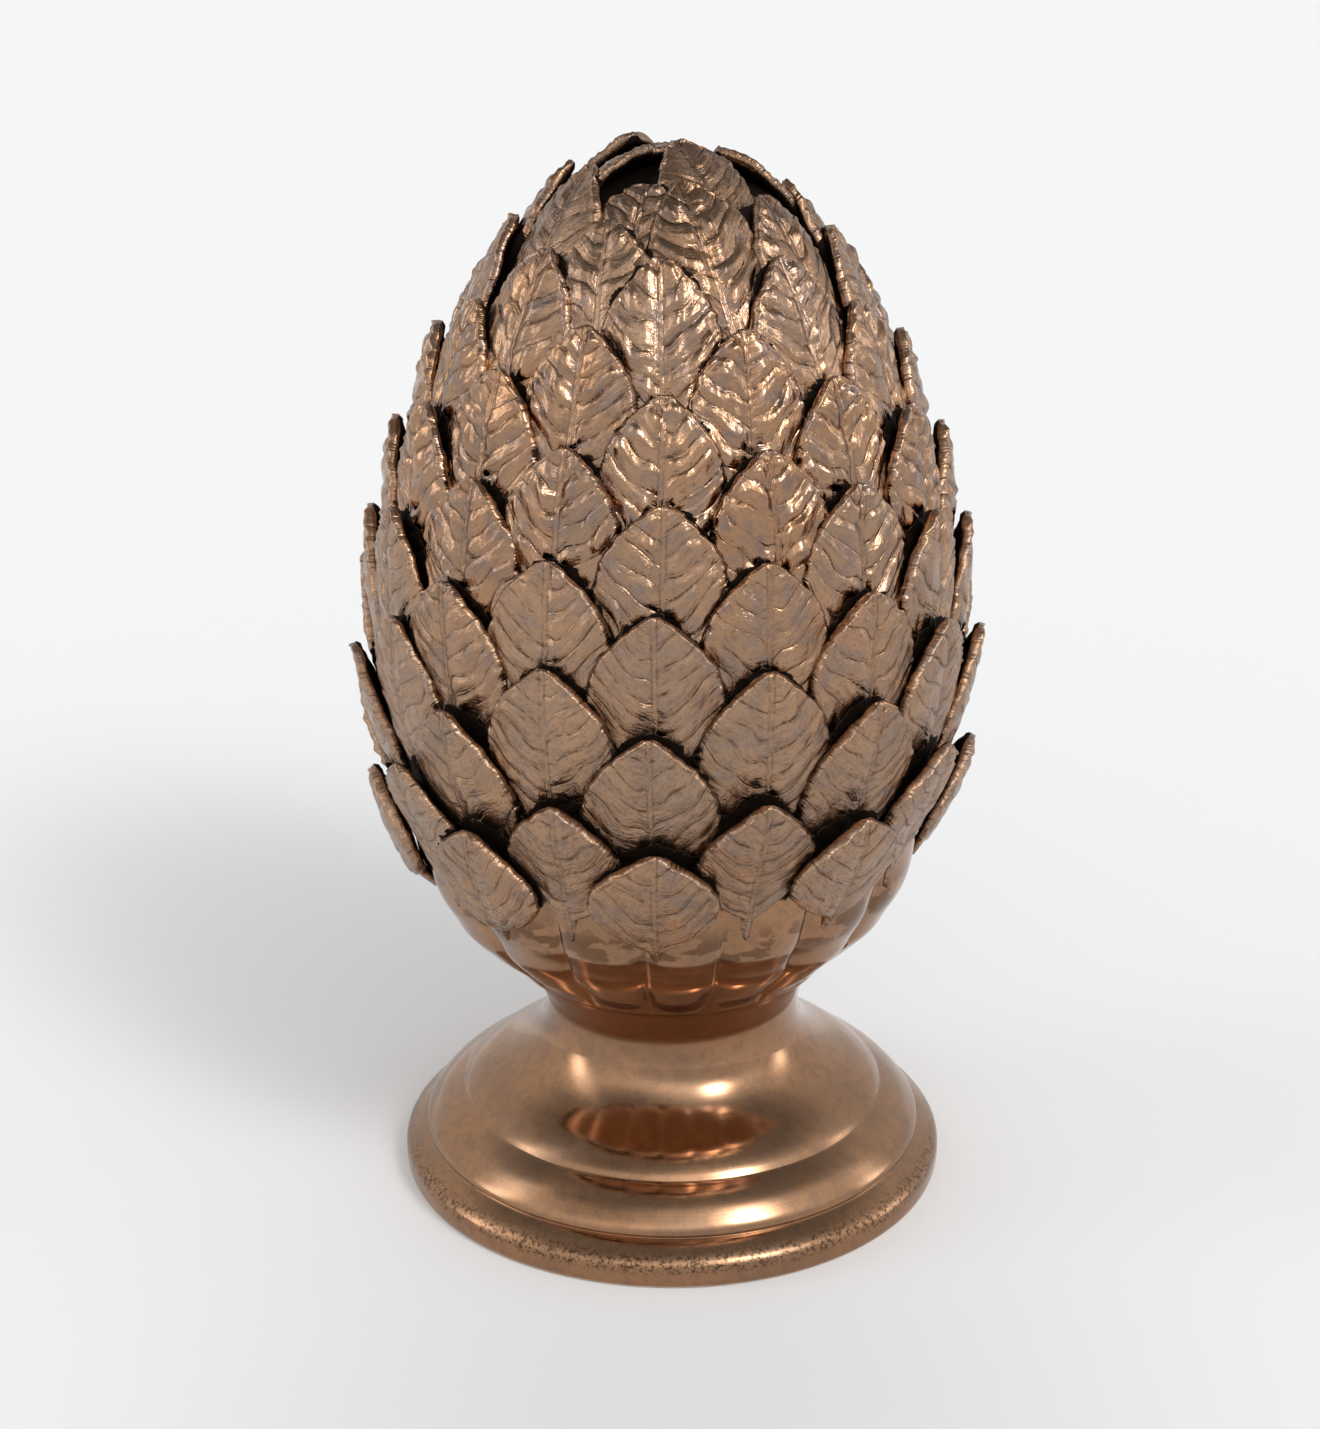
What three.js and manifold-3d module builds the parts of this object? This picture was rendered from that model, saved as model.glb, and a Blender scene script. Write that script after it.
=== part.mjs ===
import * as THREE from 'three';
import { mergeVertices } from 'three/addons/utils/BufferGeometryUtils.js';
import Module from 'manifold-3d';

// Driving sizes, in mm. +Z is up and the origin is on the floor, under the axis.
const overallHeight = 460;
const bodyRadius = 132.4; // over the leaf tips at the widest height
const widestHeight = 240;
const neckRadius = 55.2;
const neckHeight = 75;
const footRadius = 118.4;
const recessDepth = 6; // hollow under the foot, inside its standing ring
const coreGap = 13; // from the leaf tips in to the smooth body behind them
const leafThickness = 5.5;
const baseSink = 3; // how deep a leaf's hidden base is let into the body
const cupRise = 2.5; // how proud the lowest leaves lie on the cup
const lowBelly = 7; // how far the lowest leaves bulge out above it
const leafCurl = 1.15; // above 1, a leaf runs flat with the body near its tip
const leafBow = 2.6; // how far a leaf's edges fall back from its middle
const fluteCount = 16;
const fluteDepth = 4.2;
const frontSqueeze = 5; // degrees by which the lowest columns crowd together at the front
const bodyShift = -2.2; // the body sits a little to the left of the foot's axis

// The leaves below are drawn on this body, and spread out or close up with the real one.
const drawnBody = { height: 460, widest: 240, radius: 132.4 };

// Foot, from the middle of its underside round the rim and up over two rolls to the neck.
const footSection = [
  [0, recessDepth], [93, recessDepth], [97, 0], [footRadius - 1.2, 0], [footRadius, 2.5],
  [footRadius, 9.5], [footRadius - 2, 12.8], [108, 18.4], [108.9, 20.8], [106.4, 25],
  [102, 29.6], [96.8, 33.6], [91.6, 36.7], [90.6, 39], [86, 42], [79, 46.4], [70.5, 52],
  [63.5, 58.4], [58, 65.6], [neckRadius, neckHeight], [neckRadius + 2, 88], [0, 96],
];

// Rings of leaves from the lowest up. tip: height of the leaf tips; rise: how much higher they stand
// on the right than on the left; squeeze: the front crowding in degrees; drift: how many degrees the
// leaves at the sides lie round to the right; lift: how far the tips stand out past the body's section.
const leafRings = [
  { count: 9, tip: 204.5, half: 0, width: 54, length: 63, turn: -2.5, rise: 6, squeeze: 1.3, drift: 4.2, lift: 1 },
  { count: 9, tip: 222, half: 1, width: 50, length: 75, turn: -1.9, rise: 3, squeeze: 1.8, drift: 4.6, lift: 1.5 },
  { count: 9, tip: 255.5, half: 0, width: 54.5, length: 70, turn: -3.3, rise: 4, squeeze: -1, drift: 4.5, lift: 1 },
  { count: 9, tip: 279, half: 1, width: 54, length: 68, turn: -2.7, rise: -1, squeeze: 0, drift: 4.5, lift: 0 },
  { count: 8, tip: 302.5, half: 0, width: 54.5, length: 67, turn: -2.6, rise: 0, squeeze: 2.4, drift: 0, lift: 0 },
  { count: 8, tip: 320.5, half: 1, width: 52, length: 66, turn: -2, rise: 0, squeeze: 2.6, drift: 0, lift: 0 },
  { count: 8, tip: 343, half: 0, width: 53, length: 66, turn: -0.8, rise: -1, squeeze: 3, drift: 0, lift: 0 },
  { count: 8, tip: 362, half: 1, width: 50, length: 65, turn: -0.5, rise: -1, squeeze: 1.2, drift: 0, lift: 0 },
  { count: 8, tip: 382, half: 0, width: 50, length: 66, turn: -1, rise: -1, squeeze: 1.4, drift: 0, lift: 0 },
  { count: 8, tip: 402, half: 1, width: 48, length: 68, turn: -1.1, rise: 0, squeeze: 1, drift: 0, lift: 0 },
  { count: 8, tip: 425, half: 0, width: 48, length: 70, turn: -3, rise: -1, squeeze: 0.5, drift: 0, lift: 1 },
];

// Leaves of the crown, which close over the top with gaps between them. lean: degrees by which a leaf
// is turned about its tip, its base to the right as seen from outside; roll: how much its right edge
// stands up, in mm for each mm from its middle.
const crownLeaves = [
  { angle: 7, tip: 449, width: 50, length: 84, lift: 1, lean: 14 },
  { angle: -28.5, tip: 436.5, width: 44, length: 70, lift: 0, lean: 3 },
  { angle: 56, tip: 442, width: 42, length: 72, lift: 0, lean: -2 },
  { angle: 99, tip: 439, width: 42, length: 70, lift: 1.5 },
  { angle: 142, tip: 440, width: 44, length: 70, lift: 0 },
  { angle: -172, tip: 441, width: 44, length: 70, lift: 0, lean: 2 },
  { angle: -137, tip: 440, width: 44, length: 70, lift: 0 },
  { angle: -103, tip: 445.5, width: 40, length: 72, lift: 2.5 },
  { angle: -67, tip: 450, width: 43, length: 78, lift: 1, lean: 15 },
  { angle: 15, tip: 459.6, width: 42, length: 66, lift: 0, lean: 15 },
  { angle: 104, tip: 455, width: 36, length: 60, lift: -2, lean: 6, roll: -0.4 },
  { angle: 140, tip: 449, width: 38, length: 60, lift: 0 },
  { angle: -178, tip: 450, width: 40, length: 62, lift: 0 },
  { angle: -142, tip: 455, width: 42, length: 62, lift: 2, lean: -8 },
  { angle: -86, tip: 460, width: 42, length: 60, lift: -5, lean: 2, roll: 0.4 },
];

// Outline of a leaf: share of its length, from its hidden base (0) to its tip (1), and share of its
// half width there. The leaves at the back have one station fewer.
const leafOutline = [[0.1, 0.62], [0.48, 0.99], [0.82, 0.7], [1, 0]];
const backOutline = [[0.1, 0.72], [0.68, 0.92], [1, 0]];

// A leaf carried over from the drawn body to the real one: its tip keeps its share of the way up from
// the floor to the widest height, or from there to the top.
function fitted(leaf) {
  const lower = widestHeight / drawnBody.widest;
  const upper = (overallHeight - widestHeight) / (drawnBody.height - drawnBody.widest);
  const past = leaf.tip - drawnBody.widest;
  return {
    ...leaf,
    tip: widestHeight + past * (past > 0 ? upper : lower),
    width: leaf.width * (bodyRadius / drawnBody.radius),
    length: leaf.length * (overallHeight / drawnBody.height),
  };
}

const rad = THREE.MathUtils.degToRad;
const smooth = THREE.MathUtils.smoothstep;

// Radius over the leaf tips at a height: two flattened ovals that meet at the widest height.
function bodySection(z) {
  if (z > widestHeight) {
    const t = (z - widestHeight) / (overallHeight + 1 - widestHeight);
    return bodyRadius * Math.pow(Math.max(0, 1 - Math.pow(t, 1.95)), 0.61);
  }
  const t = (widestHeight - z) / 156;
  return 46 + (bodyRadius - 46) * Math.pow(Math.max(0, 1 - Math.pow(t, 2.05)), 0.85);
}

const sideSteps = 90;
const sideStart = 96;
const sidePoints = [];
for (let i = 0; i <= sideSteps; i++) {
  // steps shorten towards the top, where the section turns over
  const z = sideStart + (overallHeight - sideStart) * Math.sin((i / sideSteps) * Math.PI / 2);
  sidePoints.push(new THREE.Vector2(bodySection(z), z));
}
sidePoints.push(new THREE.Vector2(0, overallHeight + 0.6));
const side = new THREE.SplineCurve(sidePoints);
side.arcLengthDivisions = 600;
const sideLength = side.getLength();

// Distance along the side at which it reaches a height.
function sideDistance(z) {
  let low = 0;
  let high = 1;
  for (let i = 0; i < 30; i++) {
    const middle = (low + high) / 2;
    if (side.getPointAt(middle).y < z) low = middle;
    else high = middle;
  }
  return low * sideLength;
}

// The same small unevenness for the same leaf each time, between -1 and 1.
function unevenness(i, j) {
  const s = Math.sin(i * 12.9898 + j * 78.233) * 43758.5453;
  return 2 * (s - Math.floor(s)) - 1;
}

// How far the body's axis is from the foot's at a height.
const shift = (z) => bodyShift * smooth(z, 84, 190);

// How far the leaves stand free of the body: not at all on the cup, fully a little above it.
const standOff = (z) => smooth(z, 140, 188);

// A point at a distance along the side, at an angle, x to one side of the leaf's middle and some
// depth in from the section over the tips. Near the axis the leaf keeps a bend of its own.
function placed(distance, angle, x, depth) {
  const u = THREE.MathUtils.clamp(distance / sideLength, 0, 1);
  const p = side.getPointAt(u);
  const t = side.getTangentAt(u);
  const r = p.x - t.y * depth;
  const z = p.y + t.x * depth;
  const bend = Math.max(r, 52);
  const a = x / bend;
  const along = r - bend + bend * Math.cos(a);
  const across = bend * Math.sin(a);
  return new THREE.Vector3(
    shift(z) + along * Math.sin(angle) + across * Math.cos(angle),
    -along * Math.cos(angle) + across * Math.sin(angle),
    z,
  );
}

const wasm = await Module();
wasm.setup();

function solidFrom(geometry) {
  geometry.deleteAttribute('normal');
  geometry.deleteAttribute('uv');
  const merged = mergeVertices(geometry, 1e-4);
  const index = merged.index.array;
  const kept = [];
  for (let i = 0; i < index.length; i += 3) {
    const [a, b, c] = [index[i], index[i + 1], index[i + 2]];
    if (a !== b && b !== c && c !== a) kept.push(a, b, c);
  }
  return new wasm.Manifold(new wasm.Mesh({
    numProp: 3,
    vertProperties: new Float32Array(merged.attributes.position.array),
    triVerts: new Uint32Array(kept),
  }));
}

// A closed skin: rows of three points over the front of a leaf and of two behind them, up to its tip.
function leafSkin(front, back) {
  const corners = [];
  const face = (...points) => {
    for (let i = 2; i < points.length; i++) {
      for (const p of [points[0], points[i - 1], points[i]]) corners.push(p.x, p.y, p.z);
    }
  };
  for (let i = 0; i + 1 < front.length; i++) {
    const [left, middle, right] = front[i];
    const [leftUp, middleUp, rightUp] = front[i + 1];
    const [leftBack, rightBack] = back[i];
    const [leftBackUp, rightBackUp] = back[i + 1];
    face(middle, middleUp, leftUp, left);
    face(middle, right, rightUp, middleUp);
    face(leftBack, leftBackUp, rightBackUp, rightBack);
    face(leftBack, left, leftUp, leftBackUp);
    face(right, rightBack, rightBackUp, rightUp);
  }
  face(front[0][1], front[0][0], back[0][0], back[0][1], front[0][2]);
  const geometry = new THREE.BufferGeometry();
  geometry.setAttribute('position', new THREE.Float32BufferAttribute(corners, 3));
  return solidFrom(geometry);
}

// One leaf: its base lies on the body and its tip stands off it.
function leafSolid({ angle, tip, width, length, lift, lean = 0, roll = 0 }) {
  const tipDistance = sideDistance(tip);
  const front = [];
  const back = [];
  const outline = Math.cos(rad(angle)) > -0.35 ? leafOutline : backOutline;
  for (const [v, share] of outline) {
    const run = length * (1 - v);
    const distance = tipDistance - run * Math.cos(rad(lean));
    const free = standOff(side.getPointAt(THREE.MathUtils.clamp(distance / sideLength, 0, 1)).y);
    const fall = Math.pow(1 - v, leafCurl);
    const belly = lowBelly * (1 - smooth(tip, 195, 235)) * Math.sin(Math.PI * v);
    const proud = cupRise * (1 - free) * v + lift * v * v + belly;
    const depth = (coreGap + baseSink) * fall * free - proud;
    const half = 0.5 * width * share;
    const bow = leafBow * share;
    const at = (x, d) => placed(
      distance + x * Math.sin(rad(lean)),
      rad(angle),
      x * Math.cos(rad(lean)) + run * Math.sin(rad(lean)),
      d - roll * x,
    );
    front.push([at(-half, depth + bow), at(0, depth), at(half, depth + bow)]);
    const behind = depth + bow + leafThickness;
    back.push([at(-half, behind), at(half, behind)]);
  }
  // the tip is a short upright edge
  const tipBack = back[back.length - 1][0];
  back[back.length - 1] = [tipBack, tipBack];
  return leafSkin(front, back);
}

function lathe(points, segments) {
  // the seam is turned to the back
  const section = points.map(([r, z]) => new THREE.Vector2(r, z));
  const geometry = new THREE.LatheGeometry(section, segments);
  geometry.rotateX(Math.PI / 2);
  return solidFrom(geometry);
}

// Fluted cup: rounded lobes with narrow creases, which roll under into the neck.
function cupSolid() {
  const heights = [86, 99, 112, 123, 133, 150, 172];
  const shares = [0, 0.2, 0.7, 1, 1, 0.7, 0];
  const columns = fluteCount * 3;
  const corners = [];
  const point = (i, j) => {
    const turn = (360 / fluteCount) * (j / 3 + 0.5);
    const angle = rad(turn - frontSqueeze * Math.sin(rad(2 * turn)) + 3.5);
    const crease = (j % 3 === 0 ? 1 : 0);
    const inset = standOff(heights[i]) * coreGap;
    const r = bodySection(heights[i]) - inset - fluteDepth * shares[i] * crease;
    return [shift(heights[i]) + r * Math.sin(angle), -r * Math.cos(angle), heights[i]];
  };
  const top = heights.length - 1;
  for (let j = 0; j < columns; j++) {
    const k = (j + 1) % columns;
    for (let i = 0; i < top; i++) {
      corners.push(...point(i, j), ...point(i, k), ...point(i + 1, k));
      corners.push(...point(i, j), ...point(i + 1, k), ...point(i + 1, j));
    }
    corners.push(0, 0, heights[0], ...point(0, k), ...point(0, j));
    corners.push(0, 0, heights[top], ...point(top, j), ...point(top, k));
  }
  const geometry = new THREE.BufferGeometry();
  geometry.setAttribute('position', new THREE.Float32BufferAttribute(corners, 3));
  return solidFrom(geometry);
}

// Smooth egg behind the leaves.
function coreSolid() {
  const points = [[0, 150]];
  for (const z of [150, 185, 235, 300, 355, 400]) {
    points.push([bodySection(z) - coreGap * standOff(z) - 0.05 * Math.max(0, z - 390), z]);
  }
  points.push([36, 428], [0, 438]);
  return lathe(points, 16).translate([bodyShift, 0, 0]);
}

let sculpture = lathe(footSection, 28).add(cupSolid()).add(coreSolid());

leafRings.forEach((ring, i) => {
  for (let k = 0; k < ring.count; k++) {
    const turn = (360 / ring.count) * (k + 0.5 * ring.half);
    const crowding = ring.squeeze * Math.sin(rad(2 * turn));
    const angle = turn - crowding + ring.drift * Math.sin(rad(turn)) ** 2 + ring.turn;
    const tip = ring.tip + ring.rise * Math.sin(rad(angle)) + 1.2 * unevenness(i, k);
    sculpture = sculpture.add(leafSolid(fitted({ ...ring, angle, tip })));
  }
});
for (const leaf of crownLeaves) sculpture = sculpture.add(leafSolid(fitted(leaf)));

// Pockets that closed up between overlapping leaves are filled.
const bodies = sculpture.decompose().filter((body) => body.volume() > 0);
bodies.sort((a, b) => b.volume() - a.volume());
const mesh = bodies[0].getMesh();

const geometry = new THREE.BufferGeometry();
const positions = new Float32Array((mesh.vertProperties.length / mesh.numProp) * 3);
for (let i = 0; i < positions.length / 3; i++) {
  for (let k = 0; k < 3; k++) positions[3 * i + k] = mesh.vertProperties[i * mesh.numProp + k];
}
geometry.setAttribute('position', new THREE.BufferAttribute(positions, 3));
geometry.setIndex(new THREE.BufferAttribute(new Uint32Array(mesh.triVerts), 1));
geometry.computeVertexNormals();

const glaze = new THREE.MeshStandardMaterial({ color: 0x96735a, roughness: 0.28, metalness: 0.9 });

const artichoke = new THREE.Mesh(geometry, glaze);
artichoke.name = 'artichoke_finial';

const part = new THREE.Group();
part.add(artichoke);

export default part;
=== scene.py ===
import math

import bpy
import numpy as np
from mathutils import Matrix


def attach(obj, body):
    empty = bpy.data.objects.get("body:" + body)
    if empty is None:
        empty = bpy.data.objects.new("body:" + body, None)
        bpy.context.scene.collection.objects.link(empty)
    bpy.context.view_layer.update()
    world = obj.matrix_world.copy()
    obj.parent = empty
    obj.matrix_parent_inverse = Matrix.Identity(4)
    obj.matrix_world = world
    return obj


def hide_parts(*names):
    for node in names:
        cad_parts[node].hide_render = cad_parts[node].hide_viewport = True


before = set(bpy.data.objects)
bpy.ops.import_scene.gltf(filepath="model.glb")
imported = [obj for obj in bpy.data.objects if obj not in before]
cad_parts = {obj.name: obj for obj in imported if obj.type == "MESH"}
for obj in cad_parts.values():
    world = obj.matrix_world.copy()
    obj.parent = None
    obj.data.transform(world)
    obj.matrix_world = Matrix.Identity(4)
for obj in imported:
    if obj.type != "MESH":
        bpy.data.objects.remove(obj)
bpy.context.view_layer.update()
print("frame loaded")

# The camera looks down along +Y at the picture's own angle.
cameraSet = {
    "place": (-0.0054, -1.2911, 0.7510),
    "downTilt": 22.7316,
    "focalPixels": 3296.82,
    "longSidePixels": 1429,
    "sensor": 36.0,
    "clip": (0.05, 60.0),
}


def makeCamera(values):
    # lens in mm = focal length in pixels * sensor / the picture's longer side
    data = bpy.data.cameras.new("pictureCamera")
    data.sensor_width = values["sensor"]
    data.lens = values["focalPixels"] * values["sensor"] / values["longSidePixels"]
    data.clip_start, data.clip_end = values["clip"]
    camera = bpy.data.objects.new("pictureCamera", data)
    camera.location = values["place"]
    camera.rotation_euler = (math.radians(90.0 - values["downTilt"]), 0.0, 0.0)
    bpy.context.scene.collection.objects.link(camera)
    bpy.context.scene.camera = camera


makeCamera(cameraSet)
print("camera placed")


# Shapes are worked out in mm, with the foot's middle at 0, and scaled to metres when a mesh is made.

bodySet = {
    "top": 461.0,  # where the section closes, just over the highest tip
    "radius": 132.4,  # over the leaf tips at the widest height
    "widest": 240.0,
    "cupRadius": 46.0,  # where the lower oval would end
    "lowerOval": 156.0,  # height of the lower oval
    "upperPowers": (1.95, 0.61),  # how square each oval is
    "lowerPowers": (2.05, 0.85),
    "cupBottom": 102.0,
    "sectionStart": 96.0,
    "sideSteps": 1500,
    "leafStart": (140.0, 188.0),  # heights between which the leaves come free of the cup
    "leastBend": 52.0,  # radius to which a leaf stays bent near the axis
    "shift": -2.2,  # the body sits a little to the left of the foot
    "shiftRise": (76.0, 115.0),  # heights between which it moves over
    "coreGap": 13.0,  # from the leaf tips in to the smooth body
    "baseSink": 0.6,  # how much deeper than that body the leaves' bases lie
    "cupRise": 2.5,  # how far the lowest leaves stand off the cup
    "lowBelly": 7.0,  # how far the low leaves swell at half height
    "bellyFade": (195.0, 235.0),  # tip heights over which the low leaves lose their belly
    "leafCurl": 1.15,  # power by which a leaf comes out from its base to its tip
    "leafBow": 2.6,  # how far a leaf's edges lie behind its middle
}


def smoothStep(x, low, high):
    # 0 below low, 1 above high, and 3t^2 - 2t^3 between them
    t = np.clip((np.asarray(x, float) - low) / (high - low), 0.0, 1.0)
    return t * t * (3.0 - 2.0 * t)


def bodySection(z):
    # radius over the leaf tips: two ovals that meet at the widest height, each narrowing with its share
    # of the height as (1 - share ^ first power) ^ second power
    z = np.asarray(z, float)
    widest = bodySet["widest"]
    low = bodySet["cupRadius"]
    up = np.clip((z - widest) / (bodySet["top"] - widest), 0.0, 1.0)
    down = np.clip((widest - z) / bodySet["lowerOval"], 0.0, 1.0)
    first, second = bodySet["upperPowers"]
    upper = bodySet["radius"] * (1.0 - up ** first) ** second
    first, second = bodySet["lowerPowers"]
    lower = low + (bodySet["radius"] - low) * (1.0 - down ** first) ** second
    return np.where(z > widest, upper, lower)


def sideTable():
    # the section as radius and height against the distance along it, with its outward direction, in
    # steps that shorten towards the top
    start = bodySet["sectionStart"]
    share = np.sin(np.linspace(0.0, math.pi / 2, bodySet["sideSteps"]))
    z = start + (bodySet["top"] - start) * share
    r = bodySection(z)
    distance = np.concatenate([[0.0], np.cumsum(np.hypot(np.diff(r), np.diff(z)))])
    slope = np.gradient(r, distance), np.gradient(z, distance)
    return {"s": distance, "r": r, "z": z, "outR": slope[1], "outZ": -slope[0]}


side = sideTable()


def onSide(distance, name):
    # one column of the side's table, straight between its rows
    return np.interp(distance, side["s"], side[name])


def bodyOffset(z):
    # how far the body's axis is from the foot's at a height
    return bodySet["shift"] * smoothStep(z, *bodySet["shiftRise"])


def placed(distance, angle, x, depth):
    # the point at a distance along the section and an angle about the axis, moved x across along an
    # arc of the leaf's own bend and depth inwards along the section's normal
    r = onSide(distance, "r") - onSide(distance, "outR") * depth
    z = onSide(distance, "z") - onSide(distance, "outZ") * depth
    bend = np.maximum(r, bodySet["leastBend"])
    turn = x / bend
    along = r - bend + bend * np.cos(turn)
    across = bend * np.sin(turn)
    px = bodyOffset(z) + along * np.sin(angle) + across * np.cos(angle)
    py = -along * np.cos(angle) + across * np.sin(angle)
    return np.stack([px, py, z], axis=-1)


def spread(*numbers):
    # the same small unevenness for the same numbers each time, between -1 and 1
    total = 0.0
    for n, k in zip(numbers, (12.9898, 78.233, 37.719)):
        total += n * k
    s = math.sin(total) * 43758.5453
    return 2.0 * (s - math.floor(s)) - 1.0


def dapple(x, y, seed):
    # smooth noise between about -1 and 1: each corner of a unit grid has its own slope, and the slopes
    # are blended over the cell by 6t^5 - 15t^4 + 10t^3
    x, y = np.broadcast_arrays(x, y)
    left = np.floor(x)
    low = np.floor(y)
    fx = x - left
    fy = y - low

    def corner(i, j):
        h = np.sin((left + i) * 127.1 + (low + j) * 311.7 + seed * 74.7) * 43758.5453
        turn = 2.0 * math.pi * (h - np.floor(h))
        return np.cos(turn) * (fx - i) + np.sin(turn) * (fy - j)

    wx = fx ** 3 * (fx * (fx * 6.0 - 15.0) + 10.0)
    wy = fy ** 3 * (fy * (fy * 6.0 - 15.0) + 10.0)
    under = corner(0, 0) * (1.0 - wx) + corner(1, 0) * wx
    over = corner(0, 1) * (1.0 - wx) + corner(1, 1) * wx
    return 1.5 * (under * (1.0 - wy) + over * wy)


class MeshParts:
    # gathers closed tubes of points and turns them into one mesh
    def __init__(self):
        self.points = []
        self.quads = []
        self.fans = []
        self.fields = {}
        self.count = 0

    def addTube(self, grid, fields, poles):
        # grid[row, around] closes on itself around, and a fan to a pole closes each end
        rows, around = grid.shape[:2]
        start = self.count
        self.points.append(grid.reshape(-1, 3))
        self.points.append(np.asarray(poles, float))
        i, j = np.meshgrid(np.arange(rows - 1), np.arange(around), indexing="ij")
        k = (j + 1) % around
        quads = np.stack([i * around + j, i * around + k, (i + 1) * around + k, (i + 1) * around + j], -1)
        self.quads.append(quads.reshape(-1, 4) + start)
        j = np.arange(around)
        k = (j + 1) % around
        last = (rows - 1) * around
        pole = np.full(around, rows * around)
        low = np.stack([k, j, pole], -1)
        high = np.stack([last + j, last + k, pole + 1], -1)
        self.fans.append(np.concatenate([low, high]) + start)
        for name, values in fields.items():
            flat = values.reshape(rows * around, -1)
            ends = np.stack([flat[:around].mean(0), flat[-around:].mean(0)])
            self.fields.setdefault(name, []).append(np.concatenate([flat, ends]))
        self.count += rows * around + 2

    def mesh(self, name):
        # all tubes as one mesh in metres, with each field as an attribute of its points
        points = np.concatenate(self.points) * 0.001
        quads = np.concatenate(self.quads)
        fans = np.concatenate(self.fans)
        data = bpy.data.meshes.new(name)
        data.vertices.add(len(points))
        data.vertices.foreach_set("co", points.astype(np.float32).ravel())
        loops = np.concatenate([quads.ravel(), fans.ravel()])
        starts = np.concatenate([np.arange(len(quads)) * 4, len(quads) * 4 + np.arange(len(fans)) * 3])
        data.loops.add(len(loops))
        data.loops.foreach_set("vertex_index", loops.astype(np.int32))
        data.polygons.add(len(starts))
        data.polygons.foreach_set("loop_start", starts.astype(np.int32))
        data.polygons.foreach_set("use_smooth", np.ones(len(starts), bool))
        data.update(calc_edges=True)
        for field, pieces in self.fields.items():
            values = np.concatenate(pieces).astype(np.float32)
            kind, key = ("FLOAT", "value") if values.shape[1] == 1 else ("FLOAT_VECTOR", "vector")
            data.attributes.new(field, kind, "POINT").data.foreach_set(key, values.ravel())
        return data


def addPiece(name, data, material):
    # one of the sculpture's pieces, on the body's frame and in place of the solid
    piece = bpy.data.objects.new(name, data)
    bpy.context.scene.collection.objects.link(piece)
    data.materials.append(material)
    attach(piece, "root")
    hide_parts("artichoke_finial")
    return piece


# Material arithmetic

class Wire:
    # one socket of a material's tree; arithmetic on it adds Math nodes
    def __init__(self, tree, socket=None):
        self.tree = tree
        self.socket = socket

    def feed(self, socket, value):
        # a link for a wire, a fixed value for anything else
        if isinstance(value, Wire):
            self.tree.links.new(value.socket, socket)
        else:
            socket.default_value = value

    def node(self, kind, settings=None, values=None, output=0):
        # any node, with its settings first and then its sockets
        made = self.tree.nodes.new("ShaderNode" + kind)
        for name, value in (settings or {}).items():
            setattr(made, name, value)
        for name, value in (values or {}).items():
            self.feed(made.inputs[name], value)
        return Wire(self.tree, made.outputs[output])

    def math(self, operation, first, second=0.0):
        return self.node("Math", {"operation": operation}, {0: first, 1: second})

    def __add__(self, other):
        return self.math("ADD", self, other)

    def __radd__(self, other):
        return self.math("ADD", other, self)

    def __sub__(self, other):
        return self.math("SUBTRACT", self, other)

    def __rsub__(self, other):
        return self.math("SUBTRACT", other, self)

    def __mul__(self, other):
        return self.math("MULTIPLY", self, other)

    def __rmul__(self, other):
        return self.math("MULTIPLY", other, self)

    def __truediv__(self, other):
        return self.math("DIVIDE", self, other)

    def __rtruediv__(self, other):
        return self.math("DIVIDE", other, self)

    def between(self, low, high):
        # 0 to 1 as the value goes from low to high, clamped
        ends = {"Value": self, "From Min": low, "From Max": high}
        return self.node("MapRange", {"interpolation_type": "SMOOTHSTEP"}, ends)

    def mix(self, first, second):
        # the colour between two colours, by this wire's value
        return self.node("Mix", {"data_type": "RGBA"}, {0: self, 6: first, 7: second}, output=2)


def colour(r, g, b):
    return (r, g, b, 1.0)


def noise(start, vector, scale, detail, rough=0.5):
    # Blender's noise, about 0 to 1 with 0.5 in the middle
    values = {"Vector": vector, "Scale": scale, "Detail": detail, "Roughness": rough}
    return start.node("TexNoise", None, values)


def painted(start, name):
    # one of the mesh's own fields
    return start.node("Attribute", {"attribute_name": name}, output="Fac")


def newGlaze(name):
    # an empty material, and a wire to build its nodes from
    material = bpy.data.materials.new(name)
    material.use_nodes = True
    tree = material.node_tree
    tree.nodes.clear()
    return material, Wire(tree)


def bumped(start, height, values):
    # the surface's normal, tilted by a height field
    settings = {"Strength": values["bumpStrength"], "Distance": values["bumpDepth"], "Height": height}
    return start.node("Bump", None, settings)


def finishGlaze(start, values):
    # the surface shader with its sockets fed, and the material's output
    shader = start.tree.nodes.new("ShaderNodeBsdfPrincipled")
    for name, value in values.items():
        start.feed(shader.inputs[name], value)
    out = start.tree.nodes.new("ShaderNodeOutputMaterial")
    start.tree.links.new(shader.outputs[0], out.inputs[0])


# painted dark reflection at the top of the cup
reflectionSet = {
    "colour": (0.085, 0.043, 0.022),
    "low": (0.137, 0.144),
    "high": (0.164, 0.152),
    "stretch": (1.0, 1.0, 1.9),
    "scale": 62.0,
    "edge": (0.49, 0.52),
    "share": 0.6,
}


def paintedReflection(start, place, base, values):
    # ragged patches of painted dark reflection over the base colour, between two heights where the lowest
    # leaves end
    height = start.node("SeparateXYZ", None, {0: place}, output="Z")
    flat = start.node("VectorMath", {"operation": "MULTIPLY"}, {0: place, 1: values["stretch"]})
    splash = noise(start, flat, values["scale"], 4.0, 0.55)
    where = height.between(*values["low"]) * height.between(*values["high"])
    share = splash.between(*values["edge"]) * where * values["share"]
    return share.mix(base, colour(*values["colour"]))


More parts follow.
